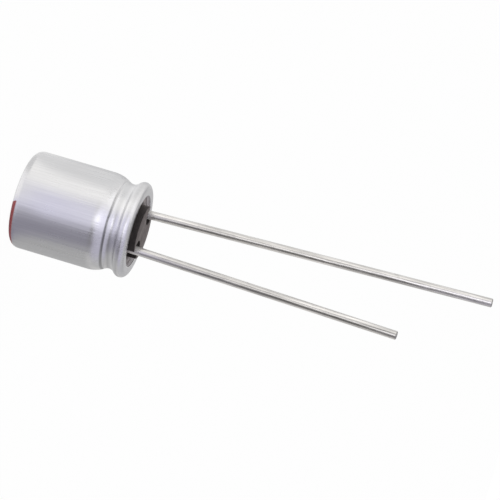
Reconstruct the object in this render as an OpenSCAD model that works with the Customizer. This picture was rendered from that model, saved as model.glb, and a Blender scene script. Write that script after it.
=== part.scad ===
// Radial aluminium polymer capacitor, standing on the closed end of its can with the leads up.
// Millimetres. The origin is the centre of the can's closed end, +Z runs along the can's axis to
// the tips of the leads, and the two leads stand on the X axis: the cathode at +X, the anode at -X.

/* [Can] */
// Outer diameter of the can
can_d = 6.3; // [5.8:0.1:10]
// Height from the closed end to the flat lip of the rim
can_h = 7.65; // [6.5:0.05:14]
// Thickness of the drawn aluminium sheet
sheet_t = 0.27; // [0.2:0.01:0.35]
// Inside radius of the corner round the closed end
corner_in_r = 0.3; // [0.1:0.05:0.8]

/* [Groove and rim] */
// Depth of the rolled groove below the can's side
groove_depth = 0.4; // [0.25:0.05:0.6]
// Radius of the groove's hollow, on the outside of the sheet
groove_r = 0.55; // [0.4:0.05:0.8]
// Radius of the shoulder that runs from the side into the groove
shoulder_r = 2; // [1:0.1:3]
// How far the rim stands in from the can's side
rim_inset = 0.055; // [0:0.005:0.15]
// Inside radius of the bend at the rim
rim_in_r = 0.12; // [0.06:0.01:0.3]
// Width of the flat lip that runs in from the rim's bend to the mouth
lip_w = 0.39; // [0.2:0.01:0.6]

/* [Rubber bung] */
// Thickness of the bung under its outer face
bung_h = 2.1; // [1.6:0.05:2.6]
// Depth of the bung's outer face below the crest of the rim
bung_sink = 0.3; // [0.1:0.05:0.4]
// Diameter of the boss that stands the rim clear of a board
boss_d = 3.4; // [2.8:0.1:4]
// Height of the boss above the crest of the rim
boss_rise = 0.3; // [0.1:0.05:1]
// Radius of the boss's top edge
boss_edge_r = 0.12; // [0.04:0.02:0.2]
// Diameter of the pocket round each lead in the boss
pocket_d = 1.3; // [0.9:0.05:1.6]

/* [Leads] */
// Diameter of the lead wire
lead_d = 0.56; // [0.45:0.01:0.8]
// Distance between the leads where they leave the bung
lead_pitch = 2.5; // [2:0.1:3]
// Length of the anode lead past the crest of the rim
anode_lead_l = 22.65; // [3:0.05:30]
// Length of the cathode lead past the crest of the rim
cathode_lead_l = 17.65; // [3:0.05:30]
// Outward lean of the anode lead, in degrees
anode_lean_angle = 2.1; // [0.5:0.1:5]
// Outward lean of the cathode lead, in degrees
cathode_lean_angle = 1.6; // [0.5:0.1:5]
// Height above the boss at which a lead's bend ends and its straight length starts
bend_rise = 0.15; // [0.15:0.05:0.5]
// Bevel that the shears leave round the tip of a lead
tip_bevel = 0.06; // [0.02:0.01:0.15]

/* [Terminal tabs] */
// Diameter of the aluminium stem that the bung grips
stem_d = 1; // [0.8:0.05:1.2]
// Depth of the stem's welded end below the bung's outer face
stem_sink = 0.5; // [0.2:0.05:1]
// Width of the flat tab in the winding
tab_w = 1.5; // [1:0.1:2]
// Thickness of the flat tab
tab_t = 0.25; // [0.15:0.05:0.4]
// Height of the tab's end above the foot of the winding
tab_foot = 0.6; // [0.2:0.05:1.2]

/* [Wound element] */
// Space between the winding and the bung
headroom = 0.6; // [0.3:0.05:1.2]
// Space between the winding and the can's closed end
foot_room = 0.25; // [0.1:0.05:0.6]
// Space between the taped winding and the can's side
side_room = 0.12; // [0.05:0.01:0.3]
// Diameter of the hole that the winding mandrel leaves
mandrel_d = 0.8; // [0.4:0.05:1.2]
// Spacing of the turns that show on the winding's ends
turn_pitch = 0.3; // [0.2:0.05:0.6]
// Width and depth of the line between two such turns
turn_line = 0.06; // [0.02:0.01:0.1]
// Thickness of the tape round the winding
tape_t = 0.06; // [0.03:0.01:0.15]
// Bare margin of the winding above and below the tape
tape_margin = 0.3; // [0:0.05:1]

/* [Fits] */
// Clearance between pieces that press together
fit_gap = 0.01; // [0.005:0.005:0.03]
// Clearance between a lead and its hole in the bung
lead_gap = 0.04; // [0.03:0.01:0.1]

/* [Hidden] */
$fn = 96;

// Overlap that makes neighbouring arcs of the can's section cross instead of only touching
arc_lap = 0.0005;
// Overlap of the shoulder's arc with the middle of that section
seam_lap = 0.02;
// Length by which a cut runs past the faces that it opens
cut_past = 1;

// Arcs of the can's outer surface: centres in (radius, height)
can_r = can_d / 2;
corner_r = corner_in_r + sheet_t;
rim_r = rim_in_r + sheet_t;
rim_c = [can_r - rim_inset - rim_r, can_h - rim_r];
groove_x = can_r - groove_depth + groove_r;
groove_c = [groove_x, rim_c.y - sqrt((rim_r + groove_r) ^ 2 - (groove_x - rim_c.x) ^ 2)];
shoulder_x = can_r - shoulder_r;
shoulder_c = [shoulder_x, groove_c.y - sqrt((shoulder_r + groove_r) ^ 2 - (groove_x - shoulder_x) ^ 2)];
// Directions in which the groove's arc meets the shoulder's and the rim's
shoulder_turn = atan2(groove_c.y - shoulder_c.y, groove_c.x - shoulder_c.x);
rim_turn = atan2(rim_c.y - groove_c.y, groove_c.x - rim_c.x);
// Radius of the mouth inside the lip
mouth_r = rim_c.x - lip_w;

// Heights up the axis
bung_face_z = can_h - bung_sink;
bung_foot_z = bung_face_z - bung_h;
boss_top_z = can_h + boss_rise;
stem_top_z = bung_face_z - stem_sink;
winding_foot_z = sheet_t + foot_room;
winding_top_z = bung_foot_z - headroom;
tab_foot_z = winding_foot_z + tab_foot;

lead_x = lead_pitch / 2;
tape_r = can_r - sheet_t - side_room;
winding_r = tape_r - tape_t - fit_gap;

// Filled section of the can inside a surface that lies inset below its outer one:
// inset 0 is the outer surface, sheet_t the inner one, and a little more fits what is inside
module can_section(inset) {
    shoulder_end_r = shoulder_x + (shoulder_r - inset) * cos(shoulder_turn);
    neck_r = rim_c.x + (rim_r - inset) * cos(rim_turn);
    neck_top_z = rim_c.y - (rim_r - inset) * sin(rim_turn);
    difference() {
        union() {
            // Closed end with its rounded corner
            translate([0, inset])
                square([can_r - corner_r, corner_r - inset]);
            translate([can_r - corner_r, corner_r])
                circle(corner_r - inset);
            // Straight side
            translate([0, corner_r])
                square([can_r - inset, shoulder_c.y - corner_r]);
            // Shoulder
            intersection() {
                translate(shoulder_c)
                    circle(shoulder_r - inset + arc_lap);
                translate([shoulder_end_r - seam_lap, corner_r])
                    square([can_d, can_h]);
            }
            // Middle, from the corner up to the foot of the rim
            translate([0, corner_r])
                square([shoulder_end_r, rim_c.y - rim_r - corner_r]);
            // Neck under the rim
            translate([0, groove_c.y])
                square([neck_r, neck_top_z - groove_c.y]);
            // Rim's bend, and what lies under the flat lip inside it
            translate(rim_c)
                circle(rim_r - inset);
            translate([0, groove_c.y])
                square([rim_c.x, can_h - inset - groove_c.y]);
        }
        translate(groove_c)
            circle(groove_r + inset + arc_lap);
    }
}

// Two-dimensional section of the boss, with a rounded top edge
module boss_section() {
    boss_r = boss_d / 2;
    translate([0, bung_foot_z])
        square([boss_r - boss_edge_r, boss_top_z - bung_foot_z]);
    translate([0, bung_foot_z])
        square([boss_r, boss_top_z - boss_edge_r - bung_foot_z]);
    translate([boss_r - boss_edge_r, boss_top_z - boss_edge_r])
        circle(boss_edge_r);
}

// Rings that mark the turns on one end of the winding, cut to either side of height z
module turn_lines(z) {
    for (r = [mandrel_d / 2 + turn_pitch : turn_pitch : winding_r - turn_pitch / 2])
        rotate_extrude()
            translate([r, z - turn_line])
                square([turn_line, 2 * turn_line]);
}

// Slot in the winding for the flat of a tab at x, open at the top
module tab_slot(x) {
    slot_t = tab_t + 2 * fit_gap;
    slot_w = tab_w + 2 * fit_gap;
    slot_foot_z = tab_foot_z - fit_gap;
    translate([x - slot_t / 2, -slot_w / 2, slot_foot_z])
        cube([slot_t, slot_w, winding_top_z - slot_foot_z + cut_past]);
}

// Terminal tab at x: a round stem for the bung, pressed to a wedge and spread into a flat tab
module terminal_tab(x) {
    flare_top_w = stem_d / 2;
    // Stem, with the wedge below the bung
    intersection() {
        translate([x, 0, tab_foot_z])
            cylinder(d = stem_d, h = stem_top_z - tab_foot_z);
        translate([x, stem_d, 0])
            rotate([90, 0, 0])
                linear_extrude(2 * stem_d)
                    polygon([
                        [0, winding_top_z], [stem_d, bung_foot_z], [stem_d, stem_top_z + cut_past],
                        [-stem_d, stem_top_z + cut_past], [-stem_d, bung_foot_z]
                    ]);
    }
    // Flat, flared out from the wedge to its full width
    translate([x - tab_t / 2, 0, 0])
        rotate([90, 0, 90])
            linear_extrude(tab_t)
                polygon([
                    [-tab_w / 2, tab_foot_z], [tab_w / 2, tab_foot_z], [tab_w / 2, winding_top_z],
                    [flare_top_w / 2, bung_foot_z], [-flare_top_w / 2, bung_foot_z],
                    [-tab_w / 2, winding_top_z]
                ]);
}

// Lead on the axis: it leaves its weld upright, bends until it is past the boss and leans straight on
// towards +X, with its tip cut square and bevelled
module lead_wire(past_rim, lean) {
    bend_l = boss_top_z + bend_rise - stem_top_z;
    bend_r = bend_l / (lean * PI / 180);
    straight_l = past_rim - boss_rise - bend_rise;
    translate([bend_r, 0, stem_top_z])
        rotate([0, lean, 0]) {
            rotate([-90, 0, 180])
                rotate_extrude(angle = lean)
                    translate([bend_r, 0])
                        circle(d = lead_d);
            translate([-bend_r, 0, 0])
                cylinder(d = lead_d, h = straight_l - tip_bevel);
            translate([-bend_r, 0, straight_l - tip_bevel])
                cylinder(d1 = lead_d, d2 = lead_d - 2 * tip_bevel, h = tip_bevel);
        }
}

// Drawn can, rolled in at the groove and bent over at the rim to a flat lip round its mouth
module can() {
    color([0.8, 0.8, 0.82])
        rotate_extrude()
            difference() {
                can_section(0);
                can_section(sheet_t);
                translate([0, rim_c.y])
                    square([mouth_r, rim_r + cut_past]);
            }
}

// Rubber bung that the groove grips, with a boss notched round the leads
module rubber_bung() {
    color([0.14, 0.13, 0.13])
        difference() {
            rotate_extrude() {
                intersection() {
                    can_section(sheet_t + fit_gap);
                    translate([0, bung_foot_z])
                        square([can_r, bung_h]);
                }
                translate([0, bung_foot_z])
                    square([mouth_r - fit_gap, bung_h]);
                boss_section();
            }
            for (x = [-lead_x, lead_x]) {
                translate([x, 0, bung_face_z])
                    cylinder(d = pocket_d, h = boss_top_z - bung_face_z + cut_past);
                translate([x, 0, bung_foot_z])
                    cylinder(d = lead_d + 2 * lead_gap, h = bung_h + cut_past);
                translate([x, 0, bung_foot_z - cut_past])
                    cylinder(d = stem_d + 2 * fit_gap, h = stem_top_z - bung_foot_z + cut_past);
            }
        }
}

// Foils and separator rolled round the mandrel, with a slot for each tab
module wound_element() {
    color([0.36, 0.3, 0.25])
        difference() {
            translate([0, 0, winding_foot_z])
                cylinder(r = winding_r, h = winding_top_z - winding_foot_z);
            translate([0, 0, winding_foot_z - cut_past])
                cylinder(d = mandrel_d, h = winding_top_z - winding_foot_z + 2 * cut_past);
            turn_lines(winding_foot_z);
            turn_lines(winding_top_z);
            for (x = [-lead_x, lead_x])
                tab_slot(x);
        }
}

// Tape that holds the winding closed
module winding_tape() {
    tape_foot_z = winding_foot_z + tape_margin;
    tape_top_z = winding_top_z - tape_margin;
    color([0.78, 0.66, 0.36])
        rotate_extrude()
            translate([tape_r - tape_t, tape_foot_z])
                square([tape_t, tape_top_z - tape_foot_z]);
}

module anode_tab() {
    color([0.82, 0.82, 0.84])
        terminal_tab(-lead_x);
}

module cathode_tab() {
    color([0.82, 0.82, 0.84])
        terminal_tab(lead_x);
}

module anode_lead() {
    color([0.72, 0.71, 0.7])
        translate([-lead_x, 0, 0])
            mirror([1, 0, 0])
                lead_wire(anode_lead_l, anode_lean_angle);
}

module cathode_lead() {
    color([0.72, 0.71, 0.7])
        translate([lead_x, 0, 0])
            lead_wire(cathode_lead_l, cathode_lean_angle);
}

can();
rubber_bung();
wound_element();
winding_tape();
anode_tab();
cathode_tab();
anode_lead();
cathode_lead();
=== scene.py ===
"""Looks of a radial aluminium polymer capacitor: satin can with a rolled groove and a flat lip,
rubber bung and tinned wire leads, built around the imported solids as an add-on's operators."""
from functools import cached_property
from math import acos, asin, atan2, cos, degrees, pi, radians, sin, sqrt, tau

import bmesh
import bpy
from bpy.props import FloatProperty, FloatVectorProperty, IntProperty, PointerProperty
from mathutils import Matrix, Vector


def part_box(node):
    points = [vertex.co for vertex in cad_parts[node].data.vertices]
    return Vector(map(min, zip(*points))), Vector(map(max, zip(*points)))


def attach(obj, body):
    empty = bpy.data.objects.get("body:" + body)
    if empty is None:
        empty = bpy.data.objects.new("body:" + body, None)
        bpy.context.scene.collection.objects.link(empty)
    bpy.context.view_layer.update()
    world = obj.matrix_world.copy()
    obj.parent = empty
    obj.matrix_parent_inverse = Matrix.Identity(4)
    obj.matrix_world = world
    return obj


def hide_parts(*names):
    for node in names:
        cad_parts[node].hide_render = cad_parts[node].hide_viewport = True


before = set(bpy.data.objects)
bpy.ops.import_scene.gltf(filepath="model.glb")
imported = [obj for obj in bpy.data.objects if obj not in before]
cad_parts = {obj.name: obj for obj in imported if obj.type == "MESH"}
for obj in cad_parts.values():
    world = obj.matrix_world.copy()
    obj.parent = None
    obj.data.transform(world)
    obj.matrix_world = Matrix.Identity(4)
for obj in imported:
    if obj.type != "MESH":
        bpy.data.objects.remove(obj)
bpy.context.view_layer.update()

bl_info = {
    "name": "Polymer capacitor",
    "version": (1, 0, 0),
    "blender": (4, 5, 0),
    "location": "3D View > Sidebar > Capacitor",
    "description": "Builds the can, bung and leads of a radial polymer capacitor, and its studio",
    "category": "Object",
}

MM = 0.001
CAN_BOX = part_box("can")
BUNG_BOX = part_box("rubber_bung")
ANODE_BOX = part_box("anode_lead")
CATHODE_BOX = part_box("cathode_lead")
ANODE_TAB_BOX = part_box("anode_tab")

# Vertices nearer than this become one
MERGE = 0.0005 * MM
# Points whose heights differ by less than this are level
LEVEL = 0.001 * MM
# Play that is allowed when an edge is told by its length and place
PLAY = 0.01 * MM
# Faces that meet at more than this angle have a corner between them
CORNER = radians(60)
# Steps round the boss, its notches, the wires and the tent, and along a wire's bend and its straight
BOSS_STEPS = 48
NOTCH_STEPS = 24
WIRE_STEPS = 48
BEND_STEPS = 8
STRAIGHT_STEPS = 24
TENT_STEPS = 96
# Values between which most of a noise lies, and their middle
NOISE_LOW = 0.3
NOISE_HIGH = 0.7
NOISE_MIDDLE = 0.5
# Shares of the crease's width, from its middle, that carry the full painted shade and that carry any of it
CREASE_SHADE_CORE = 0.25
CREASE_SHADE_REACH = 0.65
# Roughness of the can's cut edge, of its ink and of a lead's root
CUT_ROUGH = 0.75
INK_ROUGH = 0.5
ROOT_ROUGH = 0.5
# How far the cut edge and a lead's root are metallic
CUT_METALLIC = 0.15
ROOT_METALLIC = 0.8
# Width of the camera's sensor in millimetres, and nearest and furthest distance that it sees
SENSOR_WIDTH = 36
NEAREST = 0.01
FURTHEST = 10
# Point that the lamps face
LAMP_AIM = Vector((0, 0, 10 * MM))
WHITE = (1, 1, 1, 1)


def length(name, description, default):
    """A size in metres that a user may change."""
    return FloatProperty(name=name, description=description, default=default, unit="LENGTH", precision=6)


def angle(name, description, default):
    """An angle, given here in degrees."""
    return FloatProperty(name=name, description=description, default=radians(default), subtype="ANGLE")


def gain(name, description, default):
    """A factor or a share."""
    return FloatProperty(name=name, description=description, default=default, min=0)


def colour(name, description, default):
    """A linear colour."""
    return FloatVectorProperty(
        name=name, description=description, default=default, subtype="COLOR", size=3, min=0, max=1)


class CanSettings(bpy.types.PropertyGroup):
    """Sizes of the can's section, and sizes and colours of its finish."""
    radius: length("Radius", "Outer radius of the can's side", CAN_BOX[1].x)
    height: length("Height", "Height of the flat lip above the closed end", CAN_BOX[1].z)
    sheet: length("Sheet", "Thickness of the drawn sheet", 0.27 * MM)
    corner_in: length("Corner", "Inside radius of the corner round the closed end", 0.3 * MM)
    groove_depth: length("Groove depth", "Depth of the rolled groove below the side", 0.4 * MM)
    groove_radius: length("Groove radius", "Radius of the groove's hollow", 0.55 * MM)
    shoulder_radius: length("Shoulder", "Radius of the shoulder above the side", 2 * MM)
    crease: length("Crease", "Depth of the crease that the roller leaves on the shoulder", 0.045 * MM)
    crease_width: length("Crease width", "Width of that crease", 0.17 * MM)
    crease_below: length("Crease place", "Distance of that crease below the groove", 0.09 * MM)
    rim_inset: length("Rim inset", "How far the rim stands in from the side", 0.055 * MM)
    rim_in: length("Rim bend", "Inside radius of the bend at the rim", 0.12 * MM)
    lip: length("Lip", "Width of the flat lip round the mouth", 0.39 * MM)
    lip_edge: length("Lip edge", "Rounding of the lip's cut edge", 0.045 * MM)
    steps: IntProperty(name="Steps", description="Faces round the can", default=192, min=24)
    tint: colour("Aluminium", "Colour of the satin aluminium", (0.645, 0.643, 0.65))
    # Painted shade: the crease and the groove are darkened on the side towards +X, away from the light.
    # These set where that side starts and ends and how dark the crease and the groove become.
    shade_start: length("Shadow side start", "Place along X at which the soiled side starts", -1.6 * MM)
    shade_full: length("Shadow side full", "Place along X beyond which it is fully soiled", 0.6 * MM)
    crease_shade: gain("Crease shade", "Brightness of the soiled crease against clean metal", 0.5)
    groove_shade: gain("Groove shade", "Brightness of the soiled groove against clean metal", 0.87)
    groove_shade_core: length("Grime core", "Distance from the groove's middle that is fully soiled", 0.05 * MM)
    groove_shade_reach: length("Grime reach", "Distance from the groove's middle at which that ends", 0.32 * MM)
    # Painted highlight: the flank above the groove is made brighter than plain metal
    flank_highlight: gain("Flank highlight", "Brightness of the flank above the groove against plain metal", 1.22)
    flank_highlight_core: length("Burnish core", "Distance from the flank's middle that is fully bright", 0.04 * MM)
    flank_highlight_reach: length("Burnish reach", "Distance from the flank's middle at which that ends", 0.34 * MM)
    sheared: colour("Sheared edge", "Colour of the lip's dull cut edge", (0.83, 0.80, 0.815))
    cut_reach: length("Cut reach", "Distance from the mouth at which the cut's dullness ends", 0.05 * MM)
    # Painted shade: a dark band along the top of the cut
    shaded_band: length("Shaded band", "Height of the dark burr along the top of the cut", 0.05 * MM)
    shaded_band_gain: gain("Burr shade", "Brightness of the burr against the cut", 0.4)
    mark_soft: length("Softness", "Softness of the edges of the cut and the ink", 0.01 * MM)
    ink: colour("Ink", "Colour of the polarity mark on the closed end", (0.38, 0.07, 0.068))
    ink_chord: length("Ink chord", "Distance of the mark's straight edge from the axis", 1.35 * MM)
    ink_height: length("Ink height", "How far the ink reaches up the rounded corner", 0.32 * MM)
    ink_fade: length("Ink fade", "Softness of the ink's upper edge", 0.04 * MM)
    ink_wobble: length("Ink wobble", "Unevenness of the ink's edges", 0.05 * MM)


class BungSettings(bpy.types.PropertyGroup):
    """Sizes of the bung's outer face, and sizes and colours of its rubber's finish."""
    sink: length("Sink", "Depth of the outer face below the lip", 0.285 * MM)
    boss_radius: length("Boss radius", "Radius of the boss", 1.7 * MM)
    boss_edge: length("Boss edge", "Radius of the boss's top edge", 0.12 * MM)
    pocket_radius: length("Pocket", "Radius of the pocket round each lead", 0.65 * MM)
    notch_edge: length("Notch edge", "Rounding of the boss's corners at the pockets", 0.04 * MM)
    clearance: length("Clearance", "Gap between the bung and the can", 0.01 * MM)
    lead_gap: length("Lead gap", "Gap between a lead and its hole", 0.04 * MM)
    stem_radius: length("Stem", "Radius of the terminal stem in the bung", 0.5 * MM)
    rubber: colour("Rubber", "Colour of the moulded rubber", (0.017, 0.0145, 0.0138))
    bloom: colour("Bloom", "Colour of the pale bloom that rubber shows at a low angle", (1.0, 0.86, 0.83))
    # Wear with painted light: the boss's top, which faces the light, gets a lighter colour than its sides,
    # for its wear and for the light and sheen on it
    worn_and_lit: colour("Worn and lit rubber", "Colour of the boss's rubbed top", (0.084, 0.071, 0.07))
    worn_and_lit_full: length("Wear and light", "Depth below the boss's top that is fully rubbed", 0.01 * MM)
    worn_and_lit_reach: length("Wear reach", "Depth below the boss's top at which that ends", 0.03 * MM)
    worn_and_lit_rest: gain("Other wear and light", "Wear of the rest of the rubber against the boss's top", 0.3)
    # Dust with a painted reflection: the face round the boss is lightened for dust and for the reflection it
    # shows at a low angle
    dust_and_reflection: colour("Dust and reflection", "Colour of the dust round the boss", (0.42, 0.39, 0.395))
    dust_and_reflection_start: length("Dust start", "Distance from the boss at which the dust starts", 0.08 * MM)
    dust_and_reflection_full: length("Dust full", "Distance from the boss beyond which it is thickest", 0.3 * MM)


class LeadSettings(bpy.types.PropertyGroup):
    """Sizes of the wire leads and colour of their tin."""
    radius: length("Radius", "Radius of the wire", 0.28 * MM)
    pitch: length("Pitch", "Distance between the leads at the bung", 2.5 * MM)
    anode_lean: angle("Anode lean", "Outward lean of the long lead", 2.1)
    cathode_lean: angle("Cathode lean", "Outward lean of the short lead", 1.6)
    bend_rise: length("Bend rise", "Height above the boss at which the bend ends", 0.15 * MM)
    tip_short: length("Tip", "How far a tip falls short of its solid", 0.235 * MM)
    tip_bevel: length("Tip bevel", "Bevel that the shears leave round a tip", 0.06 * MM)
    dull_root: length("Dull root", "Height above the boss to which a lead's root is dull", 0.4 * MM)
    tin: colour("Tin", "Colour of the tinned wire", (0.66, 0.643, 0.622))


class InsideSettings(bpy.types.PropertyGroup):
    """Thickness of the winding's turns and colours of what the can holds."""
    turn: length("Turn", "Thickness of one turn of foil and paper", 0.15 * MM)
    foil: colour("Foil", "Colour of the etched foil's edges", (0.34, 0.34, 0.35))
    paper: colour("Paper", "Colour of the polymer-soaked paper", (0.055, 0.045, 0.038))
    tape: colour("Tape", "Colour of the tape", (0.55, 0.36, 0.1))
    tab: colour("Tab", "Colour of the terminal tabs", (0.8, 0.8, 0.81))


class StageSettings(bpy.types.PropertyGroup):
    """Camera, floor and tent."""
    azimuth: angle("Azimuth", "Turn of the camera round the can's axis", 20.351)
    elevation: angle("Elevation", "Height of the camera above the horizon", 8.0)
    roll: angle("Roll", "Roll of the camera about its line of sight", 106.452)
    distance: length("Distance", "Distance of the camera from the point it looks at", 156.56 * MM)
    aim: FloatVectorProperty(
        name="Aim", description="Point in the middle of the picture", size=3, unit="LENGTH", precision=6,
        default=(-1.323 * MM, 1.087 * MM, 14.528 * MM))
    lens: FloatProperty(name="Lens", description="Focal length in millimetres", default=179.479)
    floor_size: length("Floor", "Width of the square floor", 3.0)
    floor_white: colour("Floor white", "Colour of the floor and the tent", (0.9, 0.9, 0.9))
    floor_glow: gain("Floor glow", "Share of plain white in the floor that the eye sees", 0.97)
    sky: gain("Sky", "Strength of the light from all round", 0.8)
    wall_radius: length("Wall radius", "Distance of the tent's wall, which only metal shows", 200 * MM)
    wall_top: length("Wall top", "Height of the tent's wall", 300 * MM)
    wall_eye: length("Wall eye", "Height from which the wall's elevations are measured", 5 * MM)
    wall_soft: angle("Wall softness", "Elevation by which a shade of the wall runs into the next", 2)
    skirt_rise: length("Skirt", "Height of the wall's skirt above the closed end's plane", 0.02 * MM)


# Outlines and meshes

class Pen:
    """Draws one wire outline in the XZ plane of a bmesh, a stretch at a time."""

    def __init__(self, bm, x, z):
        self.bm = bm
        self.tip = bm.verts.new((x, 0, z))

    def line(self, x, z):
        """Draws straight to a point."""
        made = bmesh.ops.extrude_vert_indiv(self.bm, verts=[self.tip])
        self.tip = made["verts"][0]
        self.tip.co = (x, 0, z)

    def arc(self, centre, turn, steps):
        """Turns the tip about a centre (x, z), anticlockwise for a positive turn in degrees."""
        self.tip = turned_tip(
            self.bm, self.tip, (centre[0], 0, centre[1]), (0, -1, 0), radians(turn), steps)


def turned_tip(bm, tip, centre, axis, turn, steps):
    """Draws an arc from a vertex and returns the vertex at its end."""
    made = bmesh.ops.spin(bm, geom=[tip], cent=centre, axis=axis, angle=turn, steps=steps)
    return next(g for g in made["geom_last"] if isinstance(g, bmesh.types.BMVert))


def spin_outline(bm, steps):
    """Revolves everything in the bmesh about the Z axis, and closes the seam and the poles."""
    bmesh.ops.spin(
        bm, geom=bm.verts[:] + bm.edges[:], cent=(0, 0, 0), axis=(0, 0, 1),
        angle=tau, steps=steps, use_merge=True)
    bmesh.ops.remove_doubles(bm, verts=bm.verts[:], dist=MERGE)


def at_height(edge, z):
    """Whether an edge lies at one height."""
    return all(abs(v.co.z - z) < LEVEL for v in edge.verts)


def boundary_loop(bm, z):
    """Open edges that lie at one height."""
    return [e for e in bm.edges if e.is_boundary and at_height(e, z)]


def corner_edges(bm):
    """Edges at which two faces meet at a corner."""
    return [e for e in bm.edges if e.is_manifold and e.calc_face_angle() > CORNER]


def rounded(bm, edges, radius, segments):
    """Rounds edges off."""
    bmesh.ops.bevel(bm, geom=edges, offset=radius, segments=segments, profile=0.5,
                    affect="EDGES", material=-1, clamp_overlap=True)


def extruded(bm, edges, move=(0, 0, 0)):
    """Extrudes a loop of edges, moves the new one and returns it."""
    made = bmesh.ops.extrude_edge_only(bm, edges=edges)["geom"]
    verts = [g for g in made if isinstance(g, bmesh.types.BMVert)]
    bmesh.ops.translate(bm, verts=verts, vec=move)
    return [g for g in made if isinstance(g, bmesh.types.BMEdge)]


def edge_verts(edges):
    """Vertices of some edges, each once."""
    return list(dict.fromkeys(v for e in edges for v in e.verts))


def mesh_of(bm, name):
    """Turns a bmesh into a mesh and frees it."""
    mesh = bpy.data.meshes.new(name)
    bm.to_mesh(mesh)
    bm.free()
    return mesh


def linked(name, data):
    """A new object in the scene."""
    obj = bpy.data.objects.new(name, data)
    bpy.context.scene.collection.objects.link(obj)
    return obj


def finished_piece(bm, name, materials, node, sharp=40):
    """Turns a bmesh into a shown piece that rides on the body and stands for its CAD node."""
    bmesh.ops.remove_doubles(bm, verts=bm.verts[:], dist=MERGE)
    bmesh.ops.recalc_face_normals(bm, faces=bm.faces[:])
    mesh = mesh_of(bm, name)
    mesh.shade_smooth()
    mesh.set_sharp_from_angle(angle=radians(sharp))
    for material in materials:
        mesh.materials.append(material)
    piece = linked(name, mesh)
    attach(piece, "root")
    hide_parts(node)
    return piece


class CanSection:
    """Centres and turns of the arcs in the can's section, from its driving sizes."""

    def __init__(self, can):
        self.corner = can.corner_in + can.sheet
        bend = can.rim_in + can.sheet
        self.rim = (can.radius - can.rim_inset - bend, can.height - bend)
        groove_x = can.radius - can.groove_depth + can.groove_radius
        reach = bend + can.groove_radius
        self.groove = (groove_x, self.rim[1] - sqrt(reach ** 2 - (groove_x - self.rim[0]) ** 2))
        shoulder_x = can.radius - can.shoulder_radius
        reach = can.shoulder_radius + can.groove_radius
        self.shoulder = (shoulder_x, self.groove[1] - sqrt(reach ** 2 - (groove_x - shoulder_x) ** 2))
        self.shoulder_turn = degrees(
            atan2(self.groove[1] - self.shoulder[1], self.groove[0] - self.shoulder[0]))
        self.rim_turn = degrees(atan2(self.rim[1] - self.groove[1], self.groove[0] - self.rim[0]))
        self.mouth = self.rim[0] - can.lip
        self.crease_turn = self.shoulder_turn - degrees(can.crease_below / can.shoulder_radius)

    def on_shoulder(self, can, turn, depth=0.0):
        """Point (x, z) of the shoulder at a turn in degrees, sunk by a depth."""
        reach = can.shoulder_radius - depth
        return self.shoulder[0] + reach * cos(radians(turn)), self.shoulder[1] + reach * sin(radians(turn))


# Materials

class Nodes:
    """Adds and links the nodes of one tree."""

    def __init__(self, tree):
        self.tree = tree

    def node(self, kind, settings=None, **inputs):
        """Adds a node, sets its plain settings, and sets or links its inputs by name or _index."""
        made = self.tree.nodes.new(kind)
        for key, value in (settings or {}).items():
            setattr(made, key, value)
        for key, value in inputs.items():
            self.feed(made.inputs[int(key[1:]) if key[:1] == "_" and key[1:].isdigit() else key], value)
        return made

    def feed(self, socket, value):
        """Links another node's socket to a socket, or sets it to a constant."""
        if isinstance(value, bpy.types.NodeSocket):
            self.tree.links.new(value, socket)
        else:
            socket.default_value = value

    def math(self, operation, a, b=0.0, clamp=False):
        """One operation on two values."""
        made = self.node("ShaderNodeMath", {"operation": operation, "use_clamp": clamp}, _0=a, _1=b)
        return made.outputs["Value"]

    def vector(self, operation, a, b=(0, 0, 0)):
        """One operation on two vectors, as the node's outputs."""
        return self.node("ShaderNodeVectorMath", {"operation": operation}, _0=a, _1=b).outputs

    def off(self, value, middle):
        """Distance of a value from a middle."""
        return self.math("ABSOLUTE", self.math("SUBTRACT", value, middle))

    def ramp(self, value, low, high, to_low=0.0, to_high=1.0):
        """A value that goes from one end to the other as another goes from low to high."""
        made = self.node("ShaderNodeMapRange", _0=value, _1=low, _2=high, _3=to_low, _4=to_high)
        return made.outputs["Result"]

    def between(self, share, a, b):
        """A value between two."""
        return self.ramp(share, 0.0, 1.0, a, b)

    def spread(self, noise, to_low, to_high):
        """A value that follows a noise."""
        return self.ramp(noise, NOISE_LOW, NOISE_HIGH, to_low, to_high)

    def mix(self, factor, a, b):
        """A colour between two."""
        made = self.node("ShaderNodeMix", {"data_type": "RGBA"}, _0=factor, _6=a, _7=b)
        return made.outputs[2]

    def shades(self, noise, tint, dark, bright, low=NOISE_LOW, high=NOISE_HIGH):
        """A tint whose gain follows a noise."""
        return self.mix(self.ramp(noise, low, high), rgba(tint, dark), rgba(tint, bright))

    def over(self, base, top, value, low, high, most=1.0):
        """Lays one colour over another, more of it as a value goes from low to high."""
        return self.mix(self.ramp(value, low, high, 0.0, most), base, top)


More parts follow.
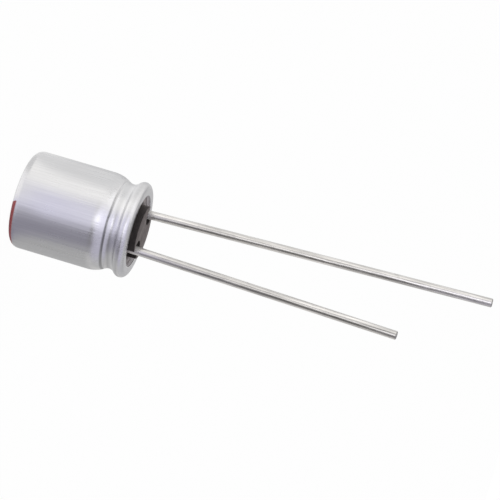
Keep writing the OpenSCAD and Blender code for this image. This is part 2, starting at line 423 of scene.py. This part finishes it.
class Shader(Nodes):
    """One procedural material on Object coordinates, built node by node."""

    def __init__(self, name):
        self.material = bpy.data.materials.new(name)
        self.material.use_nodes = True
        super().__init__(self.material.node_tree)
        self.principled = self.tree.nodes["Principled BSDF"]

    @cached_property
    def place(self):
        """Object coordinates."""
        return self.node("ShaderNodeTexCoord").outputs["Object"]

    def noise(self, per_mm, detail=3, roughness=0.55):
        """A noise with so many pattern units a millimetre along X, Y and Z."""
        place = self.node("ShaderNodeMapping", Vector=self.place, Scale=[s / MM for s in per_mm])
        made = self.node("ShaderNodeTexNoise", Vector=place.outputs["Vector"], Scale=1.0, Detail=detail,
                         Roughness=roughness)
        return made.outputs["Fac"]

    def level(self):
        """Object coordinates brought down to the XY plane."""
        return self.vector("MULTIPLY", self.place, (1, 1, 0))["Vector"]

    def radius(self):
        """Distance from the Z axis."""
        return self.vector("LENGTH", self.level())["Value"]

    def axis(self, name):
        """One of the Object coordinates."""
        return self.node("ShaderNodeSeparateXYZ", Vector=self.place).outputs[name]

    def bump(self, height, strength, depth, under=None):
        """A relief, on top of another where one is given."""
        made = self.node("ShaderNodeBump", Strength=strength, Distance=depth, Height=height)
        if under is not None:
            self.feed(made.inputs["Normal"], under)
        return made.outputs["Normal"]

    def surface(self, shader):
        """Takes another shader for the surface."""
        self.feed(self.tree.nodes["Material Output"].inputs["Surface"], shader)

    def finish(self, **inputs):
        """Feeds the main shader's inputs and returns the material."""
        for key, value in inputs.items():
            self.feed(self.principled.inputs[key.replace("_", " ")], value)
        return self.material


def rgba(colour_value, brightness=1.0):
    """A colour times a brightness, with alpha."""
    return (*[min(1.0, c * brightness) for c in colour_value], 1.0)


def satin_aluminium(can):
    """Drawn sheet: fine lines along the draw, soft blotches, painted shade in the crease and the groove on
    the side away from the light, a painted highlight on the flank above the groove, a dull cut at the mouth
    with a painted shade band along its top, and the inked segment on the closed end."""
    paint = Shader("satin_aluminium")
    s = CanSection(can)
    x = paint.axis("X")
    z = paint.axis("Z")
    lines = paint.noise((11, 11, 0.22), detail=4, roughness=0.6)
    blotches = paint.noise((0.9, 0.9, 0.5))
    grain = paint.noise((16, 16, 16))
    bands = paint.noise((3.5, 3.5, 0.07), roughness=0.6)
    metal = paint.shades(lines, can.tint, dark=0.90, bright=1.06)
    metal = paint.over(metal, rgba(can.tint, 0.94), blotches, low=0.4, high=0.75, most=0.6)
    metal = paint.over(metal, rgba(can.tint, 0.93), bands, low=0.45, high=0.75, most=0.6)
    # Painted shade in the groove and the crease on the side away from the light, and a painted highlight on
    # the flank above the groove
    # The painted shade fades in along X towards the side away from the light
    shaded = paint.ramp(x, can.shade_start, can.shade_full)
    groove_shade = paint.mix(shaded, rgba(can.tint), rgba(can.tint, can.groove_shade))
    crease_shade = paint.mix(shaded, rgba(can.tint), rgba(can.tint, can.crease_shade))
    # Colour of the painted highlight on the flank above the groove
    bright = rgba(can.tint, can.flank_highlight)
    off_groove = paint.off(z, s.groove[1])
    off_crease = paint.off(z, s.on_shoulder(can, s.crease_turn, can.crease)[1])
    off_flank = paint.off(z, (s.groove[1] + s.rim[1]) / 2)
    metal = paint.over(groove_shade, metal, off_groove, can.groove_shade_core, can.groove_shade_reach)
    metal = paint.over(crease_shade, metal, off_crease, can.crease_width * CREASE_SHADE_CORE, can.crease_width * CREASE_SHADE_REACH)
    metal = paint.over(bright, metal, off_flank, can.flank_highlight_core, can.flank_highlight_reach)
    # Cut edge, with a painted shade band along its top
    soft = can.mark_soft
    cut_top = can.height - can.lip_edge
    cut = paint.ramp(paint.radius(), s.mouth + can.cut_reach, s.mouth + can.cut_reach / 2)
    cut = paint.math("MULTIPLY", cut, paint.ramp(z, s.rim[1], s.rim[1] + soft))
    cut = paint.math("MULTIPLY", cut, paint.ramp(z, cut_top + soft, cut_top - soft))
    shaded_band = paint.ramp(z, cut_top - can.shaded_band, cut_top - can.shaded_band / 2)
    metal = paint.mix(cut, metal, paint.mix(shaded_band, rgba(can.sheared), rgba(can.sheared, can.shaded_band_gain)))
    # Ink
    wobble = paint.math("MULTIPLY", paint.math("SUBTRACT", grain, NOISE_MIDDLE), can.ink_wobble)
    past_chord = paint.ramp(paint.math("ADD", x, wobble), can.ink_chord - soft, can.ink_chord + soft)
    below_edge = paint.ramp(
        paint.math("ADD", z, wobble), can.ink_height + can.ink_fade, can.ink_height - can.ink_fade)
    inked = paint.math("MULTIPLY", past_chord, below_edge, clamp=True)
    ink = paint.shades(grain, can.ink, dark=0.9, bright=1.1)
    # Roughness, metal and relief
    satin = paint.math("ADD", paint.spread(blotches, 0.27, 0.33), paint.spread(lines, -0.03, 0.03))
    rough = paint.between(inked, paint.between(cut, satin, CUT_ROUGH), INK_ROUGH)
    dulled = paint.math("MAXIMUM", inked, paint.math("MULTIPLY", cut, 1 - CUT_METALLIC))
    relief = paint.bump(lines, strength=0.4, depth=0.01 * MM)
    relief = paint.bump(bands, strength=0.7, depth=0.02 * MM, under=relief)
    relief = paint.bump(grain, strength=0.2, depth=0.006 * MM, under=relief)
    return paint.finish(
        Base_Color=paint.mix(inked, metal, ink), Metallic=paint.between(dulled, 1.0, 0.0),
        Roughness=rough, Normal=relief)


def moulded_rubber(bung, boss_z):
    """Dull black rubber with a fine moulded grain, a boss whose top is painted lighter for wear and for the
    light on it, and pale dust round it that is partly a painted reflection.
    """
    paint = Shader("moulded_rubber")
    grain = paint.noise((30, 30, 30), detail=4)
    specks = paint.noise((3, 3, 3), detail=5, roughness=0.62)
    # The boss's top is painted lighter, partly for wear and partly for the light on it
    crown = paint.ramp(paint.axis("Z"), boss_z - bung.worn_and_lit_reach, boss_z - bung.worn_and_lit_full)
    # Pale ring round the boss, partly dust and partly a painted reflection
    ring = paint.ramp(
        paint.radius(), bung.boss_radius + bung.dust_and_reflection_start, bung.boss_radius + bung.dust_and_reflection_full)
    rubbed_and_lit = paint.math("MAXIMUM", crown, bung.worn_and_lit_rest)
    worn_and_lit = paint.math("MULTIPLY", rubbed_and_lit, paint.ramp(specks, 0.4, 0.6, to_low=0.25))
    dust_and_reflection_share = paint.math("MULTIPLY", ring, paint.spread(specks, 0.6, 1.0))
    body = paint.mix(worn_and_lit, rgba(bung.rubber), rgba(bung.worn_and_lit))
    relief = paint.bump(grain, strength=0.35, depth=0.008 * MM)
    relief = paint.bump(specks, strength=0.5, depth=0.03 * MM, under=relief)
    return paint.finish(
        Base_Color=paint.mix(dust_and_reflection_share, body, rgba(bung.dust_and_reflection)), Roughness=paint.spread(grain, 0.52, 0.68),
        Specular_IOR_Level=0.18, Sheen_Weight=0.22, Sheen_Roughness=0.4, Sheen_Tint=rgba(bung.bloom),
        Normal=relief)


def tinned_wire(lead):
    """Bright tin with dark and bright streaks along the draw, small dull patches and a dull root."""
    paint = Shader("tinned_wire")
    lines = paint.noise((5.5, 5.5, 0.22), detail=4, roughness=0.7)
    patches = paint.noise((3, 3, 1.2), detail=5, roughness=0.7)
    tin = paint.shades(lines, lead.tin, dark=0.74, bright=1.18, low=0.36, high=0.64)
    tin = paint.over(tin, rgba(lead.tin, 0.76), patches, low=0.55, high=0.72)
    tin = paint.over(tin, rgba(lead.tin, 0.42), lines, low=0.38, high=0.30)
    tin = paint.over(tin, rgba(lead.tin, 1.45), lines, low=0.62, high=0.70)
    gloss = paint.math("ADD", paint.ramp(patches, 0.35, 0.7, 0.15, 0.22), paint.spread(lines, -0.03, 0.04))
    root = paint.ramp(paint.axis("Z"), BUNG_BOX[1].z + lead.dull_root, BUNG_BOX[1].z)
    relief = paint.bump(lines, strength=0.9, depth=0.01 * MM)
    relief = paint.bump(patches, strength=0.3, depth=0.03 * MM, under=relief)
    return paint.finish(
        Base_Color=tin, Metallic=paint.between(root, 1.0, ROOT_METALLIC),
        Roughness=paint.between(root, gloss, ROOT_ROUGH), Normal=relief)


def sheared_tin(lead):
    """Dull end of a wire, smeared by the shears."""
    paint = Shader("sheared_tin")
    smears = paint.noise((4, 24, 24), detail=4, roughness=0.65)
    return paint.finish(
        Base_Color=paint.shades(smears, lead.tin, dark=0.35, bright=0.6), Metallic=1.0,
        Roughness=paint.spread(smears, 0.3, 0.45),
        Normal=paint.bump(smears, strength=0.4, depth=0.01 * MM))


def plain_aluminium(inside):
    """Pressed terminal metal with fine scratches along its length."""
    paint = Shader("plain_aluminium")
    lines = paint.noise((30, 30, 2), detail=4, roughness=0.6)
    return paint.finish(
        Base_Color=paint.shades(lines, inside.tab, dark=0.92, bright=1.04), Metallic=1.0,
        Roughness=paint.spread(lines, 0.3, 0.42),
        Normal=paint.bump(lines, strength=0.2, depth=0.004 * MM))


def wound_foil(inside):
    """Ends of the rolled foil and paper: rings round the axis, stained unevenly by the polymer."""
    paint = Shader("wound_foil")
    turn = paint.math("FRACT", paint.math("DIVIDE", paint.radius(), inside.turn))
    stripe = paint.math("PINGPONG", turn, 0.5)
    stain = paint.noise((2.5, 2.5, 1.2), detail=5, roughness=0.65)
    body = paint.over(rgba(inside.foil), rgba(inside.paper), stripe, low=0.12, high=0.2)
    body = paint.over(body, rgba(inside.paper, 0.45), stain, low=0.42, high=0.68)
    return paint.finish(
        Base_Color=body, Roughness=paint.spread(stain, 0.55, 0.8),
        Normal=paint.bump(stripe, strength=0.4, depth=0.01 * MM))


def clear_tape(inside):
    """Amber film with a faint weave of pressure marks."""
    paint = Shader("amber_tape")
    marks = paint.noise((3, 3, 6))
    return paint.finish(
        Base_Color=paint.shades(marks, inside.tape, dark=0.85, bright=1.1),
        Roughness=paint.spread(marks, 0.22, 0.36),
        Normal=paint.bump(marks, strength=0.15, depth=0.01 * MM))


# Operators

class CAPACITOR_OT_can(bpy.types.Operator):
    """Make the drawn can with its groove, flat lip and inked mark"""
    bl_idname = "capacitor.make_can"
    bl_label = "Make the can"

    def execute(self, context):
        can = context.scene.capacitor_can
        s = CanSection(can)
        corner = (can.radius - s.corner, s.corner)
        crease_half = degrees(can.crease_width / 2 / can.shoulder_radius)
        edge_x = s.mouth + can.lip_edge
        under_z = can.height - can.sheet
        bm = bmesh.new()
        pen = Pen(bm, 0, 0)
        # Outside, from the closed end up over the rim to the lip's cut edge
        pen.line(corner[0], 0)
        pen.arc(corner, 90, steps=14)
        pen.line(can.radius, s.shoulder[1])
        pen.arc(s.shoulder, s.crease_turn - crease_half, steps=20)
        pen.line(*s.on_shoulder(can, s.crease_turn, can.crease))
        pen.line(*s.on_shoulder(can, s.crease_turn + crease_half))
        pen.arc(s.shoulder, s.shoulder_turn - s.crease_turn - crease_half, steps=4)
        pen.arc(s.groove, -(s.shoulder_turn + s.rim_turn), steps=24)
        pen.arc(s.rim, s.rim_turn + 90, steps=32)
        pen.line(edge_x, can.height)
        pen.arc((edge_x, can.height - can.lip_edge), 90, steps=6)
        pen.line(s.mouth, under_z)
        # Inside, back down to the closed end
        pen.line(s.rim[0], under_z)
        pen.arc(s.rim, -(90 + s.rim_turn), steps=16)
        pen.arc(s.groove, s.rim_turn + s.shoulder_turn, steps=16)
        pen.arc(s.shoulder, -s.shoulder_turn, steps=12)
        pen.line(can.radius - can.sheet, s.corner)
        pen.arc(corner, -90, steps=8)
        pen.line(0, can.sheet)
        spin_outline(bm, can.steps)
        finished_piece(bm, "drawn_can", [satin_aluminium(can)], "can")
        return {"FINISHED"}


def boss_outline(bm, bung, lead_x, z):
    """Closed outline of the boss at one height: a circle notched by the pocket round each lead."""
    meet_x = (bung.boss_radius ** 2 - bung.pocket_radius ** 2 + lead_x ** 2) / (2 * lead_x)
    meet = acos(meet_x / bung.boss_radius)
    bite = acos((lead_x - meet_x) / bung.pocket_radius)
    old = set(bm.edges)
    start = bm.verts.new((bung.boss_radius * cos(meet), bung.boss_radius * sin(meet), z))
    tip = start
    for notch_x in (-lead_x, lead_x):
        tip = turned_tip(bm, tip, (0, 0, z), (0, 0, 1), pi - 2 * meet, BOSS_STEPS)
        tip = turned_tip(bm, tip, (notch_x, 0, z), (0, 0, 1), -2 * bite, NOTCH_STEPS)
    bmesh.ops.pointmerge(bm, verts=[start, tip], merge_co=start.co)
    return [e for e in bm.edges if e not in old]


class CAPACITOR_OT_bung(bpy.types.Operator):
    """Make the rubber bung with its notched boss"""
    bl_idname = "capacitor.make_bung"
    bl_label = "Make the bung"

    def execute(self, context):
        can = context.scene.capacitor_can
        bung = context.scene.capacitor_bung
        lead = context.scene.capacitor_lead
        lead_x = lead.pitch / 2
        face_z = can.height - bung.sink
        foot_z = BUNG_BOX[0].z
        boss_z = BUNG_BOX[1].z
        bm = bmesh.new()
        self.side(bm, can, bung, foot_z, face_z)
        face_edges = boundary_loop(bm, face_z)
        foot_edges = boundary_loop(bm, foot_z)
        for x in (-lead_x, lead_x):
            mouth, foot = self.hole(bm, bung, lead, x, foot_z, face_z)
            face_edges += mouth
            foot_edges += foot
        outline = boss_outline(bm, bung, lead_x, face_z)
        crest = extruded(bm, outline, (0, 0, boss_z - face_z))
        if not bmesh.ops.contextual_create(bm, geom=crest)["faces"]:
            raise RuntimeError("the boss has no top face")
        bmesh.ops.triangle_fill(bm, use_beauty=True, edges=face_edges + outline)
        bmesh.ops.triangle_fill(bm, use_beauty=True, edges=foot_edges)
        self.soften_boss(bm, bung, face_z, boss_z)
        finished_piece(
            bm, "moulded_bung", [moulded_rubber(bung, boss_z)], "rubber_bung", sharp=50)
        return {"FINISHED"}

    def side(self, bm, can, bung, foot_z, face_z):
        """Side of the bung, from its foot up along the inside of the can to the face under the lip."""
        s = CanSection(can)
        reach = can.shoulder_radius - can.sheet - bung.clearance
        foot_turn = degrees(asin((foot_z - s.shoulder[1]) / reach))
        face_turn = degrees(asin((face_z - s.rim[1]) / (can.rim_in - bung.clearance)))
        pen = Pen(bm, s.shoulder[0] + reach * cos(radians(foot_turn)), foot_z)
        pen.arc(s.shoulder, s.shoulder_turn - foot_turn, steps=12)
        pen.arc(s.groove, -(s.shoulder_turn + s.rim_turn), steps=16)
        pen.arc(s.rim, s.rim_turn + face_turn, steps=12)
        spin_outline(bm, can.steps)

    def hole(self, bm, bung, lead, x, foot_z, face_z):
        """Hole for a lead, widened for the stem below. Returns its edges in the face and in the foot."""
        stem_z = ANODE_TAB_BOX[1].z
        narrow = lead.radius + bung.lead_gap
        wider = (bung.stem_radius + bung.clearance) / narrow
        ring = bmesh.ops.create_circle(
            bm, segments=WIRE_STEPS, radius=narrow, matrix=Matrix.Translation((x, 0, face_z)))
        mouth = list(dict.fromkeys(e for v in ring["verts"] for e in v.link_edges))
        seat = extruded(bm, extruded(bm, mouth, (0, 0, stem_z - face_z)))
        bmesh.ops.scale(bm, verts=edge_verts(seat), vec=(wider, wider, 1),
                        space=Matrix.Translation((-x, 0, 0)))
        return mouth, extruded(bm, seat, (0, 0, foot_z - stem_z))

    def soften_boss(self, bm, bung, face_z, boss_z):
        """Rounds the boss's upright corners at the pockets and then the edge round its top."""
        upright = [e for e in corner_edges(bm)
                   if abs(e.verts[0].co.z - e.verts[1].co.z) > boss_z - face_z - PLAY
                   and min(v.co.z for v in e.verts) > face_z - PLAY]
        rounded(bm, upright, bung.notch_edge, segments=3)
        round_top = [e for e in corner_edges(bm) if at_height(e, boss_z)]
        rounded(bm, round_top, bung.boss_edge, segments=5)


def make_lead(name, lead, side, lean, tip_z, node, materials):
    """A wire that leaves its weld upright, bends past the boss and leans straight out to a sheared tip."""
    weld_z = ANODE_TAB_BOX[1].z
    start = Vector((side * lead.pitch / 2, 0, weld_z))
    bend_radius = (BUNG_BOX[1].z + lead.bend_rise - weld_z) / lean
    along = Vector((side * sin(lean), 0, cos(lean)))
    bend_end_z = weld_z + bend_radius * sin(lean)
    straight = (tip_z - lead.tip_short - lead.radius * sin(lean) - bend_end_z) / cos(lean)
    bm = bmesh.new()
    bmesh.ops.create_circle(
        bm, cap_ends=True, segments=WIRE_STEPS, radius=lead.radius, matrix=Matrix.Translation(start))
    made = bmesh.ops.spin(
        bm, geom=bm.edges[:], cent=start + Vector((side * bend_radius, 0, 0)), axis=(0, side, 0),
        angle=lean, steps=BEND_STEPS)
    ring = [g for g in made["geom_last"] if isinstance(g, bmesh.types.BMEdge)]
    for _ in range(STRAIGHT_STEPS):
        ring = extruded(bm, ring, along * ((straight - lead.tip_bevel) / STRAIGHT_STEPS))
    # Bevelled tip, in the second material
    wire_faces = set(bm.faces)
    centre = sum((v.co for v in edge_verts(ring)), Vector()) / len(edge_verts(ring))
    shrink = 1 - lead.tip_bevel / lead.radius
    ring = extruded(bm, ring)
    bmesh.ops.scale(bm, verts=edge_verts(ring), vec=(shrink,) * 3, space=Matrix.Translation(-centre))
    bmesh.ops.translate(bm, verts=edge_verts(ring), vec=along * lead.tip_bevel)
    bmesh.ops.contextual_create(bm, geom=ring)
    for face in bm.faces:
        if face not in wire_faces:
            face.material_index = 1
    finished_piece(bm, name, materials, node, sharp=35)


class CAPACITOR_OT_leads(bpy.types.Operator):
    """Make the long anode lead and the short cathode lead"""
    bl_idname = "capacitor.make_leads"
    bl_label = "Make the leads"

    def execute(self, context):
        lead = context.scene.capacitor_lead
        materials = (tinned_wire(lead), sheared_tin(lead))
        make_lead("anode_wire", lead, -1, lead.anode_lean, ANODE_BOX[1].z, "anode_lead", materials)
        make_lead("cathode_wire", lead, 1, lead.cathode_lean, CATHODE_BOX[1].z, "cathode_lead", materials)
        return {"FINISHED"}


class CAPACITOR_OT_inside(bpy.types.Operator):
    """Give the winding, its tape and the terminal tabs their finishes"""
    bl_idname = "capacitor.dress_inside"
    bl_label = "Dress the inside"

    def execute(self, context):
        inside = context.scene.capacitor_inside
        metal = plain_aluminium(inside)
        finishes = {
            "wound_element": wound_foil(inside), "winding_tape": clear_tape(inside),
            "anode_tab": metal, "cathode_tab": metal}
        for node, finish in finishes.items():
            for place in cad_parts[node].material_slots:
                place.material = finish
        return {"FINISHED"}


def aimed(obj, place, target):
    """Puts a lamp or a camera at a place, facing a target."""
    obj.location = place
    obj.rotation_mode = "QUATERNION"
    obj.rotation_quaternion = (Vector(target) - Vector(place)).to_track_quat("-Z", "Y")


def around(stage, turn, elevation, distance):
    """A point seen from the can at a turn from the camera's side, in degrees towards picture-up."""
    a = stage.azimuth - radians(turn)
    e = radians(elevation)
    return Vector((sin(a) * cos(e), -cos(a) * cos(e), sin(e))) * distance


def softbox(stage, name, turn, elevation, distance, size, glow, tint):
    """A rectangular lamp whose face shines so many times as bright as white."""
    lamp = bpy.data.lights.new(name, "AREA")
    lamp.shape = "RECTANGLE"
    lamp.size, lamp.size_y = size
    lamp.energy = glow * pi * size[0] * size[1]
    lamp.color = tint
    obj = linked(name, lamp)
    aimed(obj, around(stage, turn, elevation, distance) + LAMP_AIM, LAMP_AIM)
    obj.visible_camera = False
    return obj


def white_for_viewers(nodes, lit, white, share):
    """Mixes a lit shader with a share of white for rays that the eye sees directly or in metal and glass."""
    path = nodes.node("ShaderNodeLightPath").outputs
    seen = nodes.math("MAXIMUM", path["Is Camera Ray"], path["Is Glossy Ray"])
    seen = nodes.math("MAXIMUM", seen, path["Is Transmission Ray"])
    mix = nodes.node("ShaderNodeMixShader", Fac=nodes.math("MULTIPLY", seen, share), _1=lit, _2=white)
    return mix.outputs["Shader"]


# Stretches of the tent: middle, half-width and softness in degrees of turn, lowest and highest elevation
# in degrees, and shade. A later stretch lies over an earlier one. The can's side shows what lies below -5,
# the leads -5 to 5, the shoulder, the groove and the rim all of it. The lid starts at 56.
TENT_STRETCHES = (
    (0, 46, 26, -99, 99, (0.97, 0.955, 1.14)),
    (0, 46, 26, -5, 8, (1.0, 1.0, 1.0)),
    (30, 44, 30, -99, -36, (1.1, 1.09, 1.13)),
    (51, 30, 24, -99, 99, (1.33, 1.32, 1.30)),
    (15, 21, 12, -99, -55, (1.27, 1.26, 1.27)),
    (56, 26, 14, -99, -51, (0.9, 0.9, 0.9)),
    (68, 34, 20, 24, 99, (1.5, 1.49, 1.5)),
    (-4, 36, 18, 3, 56, (1.3, 1.285, 1.48)),
    (180, 50, 30, -99, 4, (0.66, 0.66, 0.67)),
    (180, 50, 30, 4, 99, (0.78, 0.775, 0.775)),
    (-122, 64, 14, -99, 10, (0.57, 0.57, 0.57)),
    (-122, 64, 14, 10, 99, (0.7, 0.7, 0.71)),
    (-64, 54, 32, 6, 99, (0.67, 0.655, 0.78)),
    (-32, 26, 20, -99, -30, (0.64, 0.63, 0.7)),
    (-50, 34, 25, -99, 2, (0.36, 0.35, 0.42)),
    (24, 14, 8, -5, 4, (0.75, 0.74, 0.73)),
    (14, 14, 8, -5, -2.5, (0.66, 0.645, 0.63)),
    (-3, 9, 5, -5, -3, (0.95, 0.93, 0.9)),
    (-3, 9, 5, -3, 1, (1.45, 1.44, 1.43)),
    (-2, 11, 6, 1, 8, (2.1, 2.1, 2.15)),
    (-128, 44, 14, -5, 3, (0.81, 0.8, 0.79)),
    (-46, 36, 20, -5, 8, (0.2, 0.195, 0.19)),
    (180, 54, 32, 22, 99, (0.58, 0.58, 0.59)),
    (112, 36, 20, 20, 99, (1.14, 1.13, 1.12)),
    (0, 60, 40, 62, 99, (0.6, 0.6, 0.61)),
)


class CAPACITOR_OT_stage(bpy.types.Operator):
    """Set the floor, the tent, the lamps and the camera"""
    bl_idname = "capacitor.set_stage"
    bl_label = "Set the stage"

    def execute(self, context):
        scene = context.scene
        stage = scene.capacitor_stage
        scene.view_settings.view_transform = "Standard"
        self.floor(stage)
        self.sky(scene, stage)
        key = softbox(
            stage, "key_softbox", turn=58, elevation=40, distance=300 * MM, size=(130 * MM, 130 * MM),
            glow=1.2, tint=(1.0, 0.985, 0.95))
        key.visible_glossy = False
        softbox(
            stage, "spot_softbox", turn=3, elevation=12, distance=190 * MM, size=(46 * MM, 32 * MM),
            glow=1.3, tint=(1.0, 1.0, 1.0))
        self.tent_wall(scene, stage)
        self.camera(scene, stage)
        return {"FINISHED"}

    def floor(self, stage):
        """A pale floor, clear from below, so that the closed end can be looked at."""
        bm = bmesh.new()
        bmesh.ops.create_grid(bm, x_segments=1, y_segments=1, size=stage.floor_size / 2,
                              matrix=Matrix.Translation((0, 0, -stage.skirt_rise)))
        mesh = mesh_of(bm, "floor")
        paint = Shader("pale_floor")
        paint.finish(Base_Color=rgba(stage.floor_white), Roughness=0.9, Specular_IOR_Level=0.0)
        white = paint.node("ShaderNodeEmission", Color=WHITE, Strength=1.0).outputs["Emission"]
        seen = white_for_viewers(paint, paint.principled.outputs["BSDF"], white, stage.floor_glow)
        below = paint.node("ShaderNodeNewGeometry").outputs["Backfacing"]
        clear = paint.node("ShaderNodeBsdfTransparent").outputs["BSDF"]
        paint.surface(paint.node("ShaderNodeMixShader", Fac=below, _1=seen, _2=clear).outputs["Shader"])
        mesh.materials.append(paint.material)
        floor = linked("floor", mesh)

    def sky(self, scene, stage):
        """Even light from all round, plain white to the eye."""
        world = bpy.data.worlds.new("tent")
        world.use_nodes = True
        nodes = Nodes(world.node_tree)
        light = nodes.tree.nodes["Background"]
        nodes.feed(light.inputs["Color"], rgba(stage.floor_white))
        nodes.feed(light.inputs["Strength"], stage.sky)
        white = nodes.node("ShaderNodeBackground", Color=WHITE, Strength=1.0).outputs["Background"]
        seen = white_for_viewers(nodes, light.outputs["Background"], white, 1.0)
        nodes.feed(nodes.tree.nodes["World Output"].inputs["Surface"], seen)
        scene.world = world

    def tent_wall(self, scene, stage):
        """A round wall with a skirt on the floor and a lid, white with stretches of other shades. Only
        metal shows it."""
        can = scene.capacitor_can
        bm = bmesh.new()
        pen = Pen(bm, can.radius - can.corner_in, stage.skirt_rise)
        pen.line(stage.wall_radius, stage.skirt_rise)
        pen.line(stage.wall_radius, stage.wall_top)
        pen.line(0, stage.wall_top)
        spin_outline(bm, TENT_STEPS)
        mesh = mesh_of(bm, "tent_wall")
        cloth = Shader("tent_cloth")
        outwards = cloth.vector("NORMALIZE", cloth.level())["Vector"]
        above = cloth.math("SUBTRACT", cloth.axis("Z"), stage.wall_eye)
        elevation = cloth.math("ARCTAN2", above, cloth.radius())
        shade = WHITE
        for middle, half, soft, lowest, highest, stretch in TENT_STRETCHES:
            towards = cloth.vector("DOT_PRODUCT", outwards, around(stage, middle, 0, 1))["Value"]
            share = cloth.ramp(towards, cos(radians(half)), cos(radians(half - soft)))
            for limit, way in ((radians(lowest), 1), (radians(highest), -1)):
                blur = way * stage.wall_soft
                share = cloth.math("MULTIPLY", share, cloth.ramp(elevation, limit - blur, limit + blur))
            shade = cloth.mix(share, shade, (*stretch, 1))
        cloth.surface(cloth.node("ShaderNodeEmission", Color=shade).outputs["Emission"])
        mesh.materials.append(cloth.material)
        wall = linked("tent_wall", mesh)
        wall.visible_camera = False
        wall.visible_diffuse = False
        wall.visible_shadow = False

    def camera(self, scene, stage):
        """The camera, rolled so that the leads run down to the right."""
        data = bpy.data.cameras.new("camera")
        data.sensor_width = SENSOR_WIDTH
        data.lens = stage.lens
        data.clip_start = NEAREST
        data.clip_end = FURTHEST
        camera = linked("camera", data)
        place = Vector(stage.aim) + around(stage, 0, degrees(stage.elevation), stage.distance)
        aimed(camera, place, stage.aim)
        roll = Matrix.Rotation(stage.roll, 3, "Z").to_quaternion()
        camera.rotation_quaternion = camera.rotation_quaternion @ roll
        scene.camera = camera


class CAPACITOR_PT_panel(bpy.types.Panel):
    """Buttons that build the capacitor, in order"""
    bl_label = "Polymer capacitor"
    bl_space_type = "VIEW_3D"
    bl_region_type = "UI"
    bl_category = "Capacitor"

    def draw(self, context):
        for operator in OPERATORS:
            self.layout.operator(operator.bl_idname)


SETTINGS = {
    "capacitor_can": CanSettings, "capacitor_bung": BungSettings,
    "capacitor_lead": LeadSettings, "capacitor_inside": InsideSettings,
    "capacitor_stage": StageSettings}
OPERATORS = (
    CAPACITOR_OT_can, CAPACITOR_OT_bung, CAPACITOR_OT_leads, CAPACITOR_OT_inside, CAPACITOR_OT_stage)
CLASSES = (*SETTINGS.values(), *OPERATORS, CAPACITOR_PT_panel)


def register():
    """Registers the classes and gives the scene its settings."""
    for cls in CLASSES:
        bpy.utils.register_class(cls)
    for name, group in SETTINGS.items():
        setattr(bpy.types.Scene, name, PointerProperty(type=group))


def unregister():
    """Takes the settings and the classes away again."""
    for name in SETTINGS:
        delattr(bpy.types.Scene, name)
    for cls in reversed(CLASSES):
        bpy.utils.unregister_class(cls)


def main():
    """Builds everything in order."""
    register()
    bpy.ops.capacitor.make_can()
    bpy.ops.capacitor.make_bung()
    bpy.ops.capacitor.make_leads()
    bpy.ops.capacitor.dress_inside()
    bpy.ops.capacitor.set_stage()


if __name__ == "__main__":
    main()
